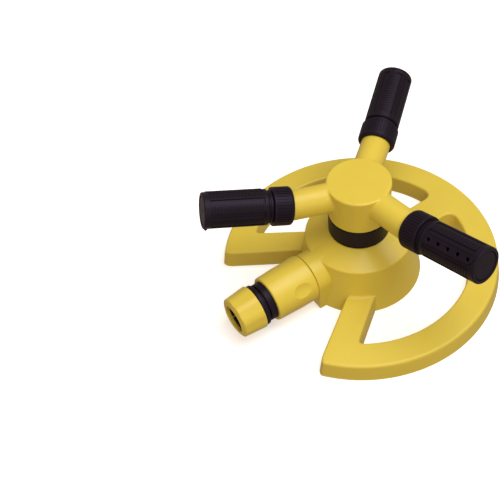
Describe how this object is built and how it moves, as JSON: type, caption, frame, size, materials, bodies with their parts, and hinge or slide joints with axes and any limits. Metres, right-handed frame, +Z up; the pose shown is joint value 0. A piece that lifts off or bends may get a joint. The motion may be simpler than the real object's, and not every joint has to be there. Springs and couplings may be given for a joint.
{
  "type": "rotary lawn sprinkler",
  "caption": "Rotary lawn sprinkler: ring-shaped plastic base with spokes, spinning hub with tilted arms and turnable nozzle barrels, pull-off hose connector at the side.",
  "frame": {"origin": "on the ground under the rotor's axis, on the underside of the bottom cover", "axes": "+Z up along the rotor's axis; the hose connector points along -Y; +X to its left when seen from the hose end looking at the hub"},
  "size_m": [0.2219, 0.2221, 0.1075],
  "materials": {
    "yellow_plastic": "moulded ABS, semi-gloss, warm yellow",
    "black_plastic": "moulded, satin black",
    "seal_rubber": "matt black rubber",
    "natural_plastic": "natural acetal",
    "steel": "bright stainless",
    "brass": "turned brass"
  },
  "bodies": {
    "base": {"base_shell": "yellow_plastic", "bottom_cover": "black_plastic", "cover_screw_1": "steel", "cover_screw_2": "steel", "cover_screw_3": "steel", "cover_screw_4": "steel", "water_elbow": "black_plastic", "elbow_screw_1": "steel", "elbow_screw_2": "steel", "elbow_screw_3": "steel", "bearing_collar": "black_plastic", "bearing_bush": "natural_plastic", "shaft_seal": "seal_rubber", "thrust_washer": "natural_plastic", "inlet_plug": "black_plastic", "plug_o_ring": "seal_rubber", "inlet_gasket": "seal_rubber"},
    "rotor": {"rotor_hub": "yellow_plastic", "rotor_floor": "yellow_plastic", "spindle": "brass", "spindle_nut": "brass", "arm_seal_1": "seal_rubber", "arm_seal_2": "seal_rubber", "arm_seal_3": "seal_rubber"},
    "lock_nut_1": {"collar_nut_1": "black_plastic"},
    "head_1": {"nozzle_barrel_1": "black_plastic", "jet_strip_1": "black_plastic", "end_cap_1": "black_plastic"},
    "lock_nut_2": {"collar_nut_2": "black_plastic"},
    "head_2": {"nozzle_barrel_2": "black_plastic", "jet_strip_2": "black_plastic", "end_cap_2": "black_plastic"},
    "lock_nut_3": {"collar_nut_3": "black_plastic"},
    "head_3": {"nozzle_barrel_3": "black_plastic", "jet_strip_3": "black_plastic", "end_cap_3": "black_plastic"},
    "swivel_seal": {"connector_seal": "seal_rubber"},
    "coupler": {"connector_body": "black_plastic", "claw_ring": "natural_plastic", "sleeve_spring": "steel"},
    "sleeve": {"release_sleeve": "yellow_plastic"},
    "clamp": {"hose_collet": "black_plastic"},
    "hose_nut": {"hose_nut": "yellow_plastic"}
  },
  "joints": [
    {"name": "rotor_spin", "type": "hinge", "parent": "base", "child": "rotor", "pos_m": [0, 0, 0.0618], "axis": [0, 0, 1], "continuous": true},
    {"name": "lock_nut_turn_1", "type": "hinge", "parent": "rotor", "child": "lock_nut_1", "pos_m": [0, 0, 0.0712], "axis": [0.9701, 0.1277, 0.2062], "range_deg": [0, 270]},
    {"name": "head_turn_1", "type": "hinge", "parent": "rotor", "child": "head_1", "pos_m": [0, 0, 0.0712], "axis": [0.9701, 0.1277, 0.2062], "continuous": true},
    {"name": "lock_nut_turn_2", "type": "hinge", "parent": "rotor", "child": "lock_nut_2", "pos_m": [0, 0, 0.0712], "axis": [-0.5957, 0.7763, 0.2062], "range_deg": [0, 270]},
    {"name": "head_turn_2", "type": "hinge", "parent": "rotor", "child": "head_2", "pos_m": [0, 0, 0.0712], "axis": [-0.5957, 0.7763, 0.2062], "continuous": true},
    {"name": "lock_nut_turn_3", "type": "hinge", "parent": "rotor", "child": "lock_nut_3", "pos_m": [0, 0, 0.0712], "axis": [-0.3745, -0.904, 0.2062], "range_deg": [0, 270]},
    {"name": "head_turn_3", "type": "hinge", "parent": "rotor", "child": "head_3", "pos_m": [0, 0, 0.0712], "axis": [-0.3745, -0.904, 0.2062], "continuous": true},
    {"name": "connector_pull", "type": "slide", "parent": "base", "child": "swivel_seal", "axis": [0, -1, 0], "range_m": [0, 0.045]},
    {"name": "connector_swivel", "type": "hinge", "parent": "swivel_seal", "child": "coupler", "pos_m": [0, -0.077, 0.022], "axis": [0, -1, 0], "continuous": true},
    {"name": "sleeve_pull", "type": "slide", "parent": "coupler", "child": "sleeve", "axis": [0, -1, 0], "range_m": [0, 0.004], "stiffness_N_per_m": 400, "deforming": ["sleeve_spring"]},
    {"name": "collet_travel", "type": "slide", "parent": "coupler", "child": "clamp", "axis": [0, -1, 0], "range_m": [0, 0.006]},
    {"name": "hose_nut_turn", "type": "hinge", "parent": "clamp", "child": "hose_nut", "pos_m": [0, -0.1, 0.022], "axis": [0, -1, 0], "range_deg": [0, 720]}
  ],
  "couplings": [
    {"joint": "collet_travel", "follows": "hose_nut_turn", "m_per_rad": 0.00047746}
  ]
}
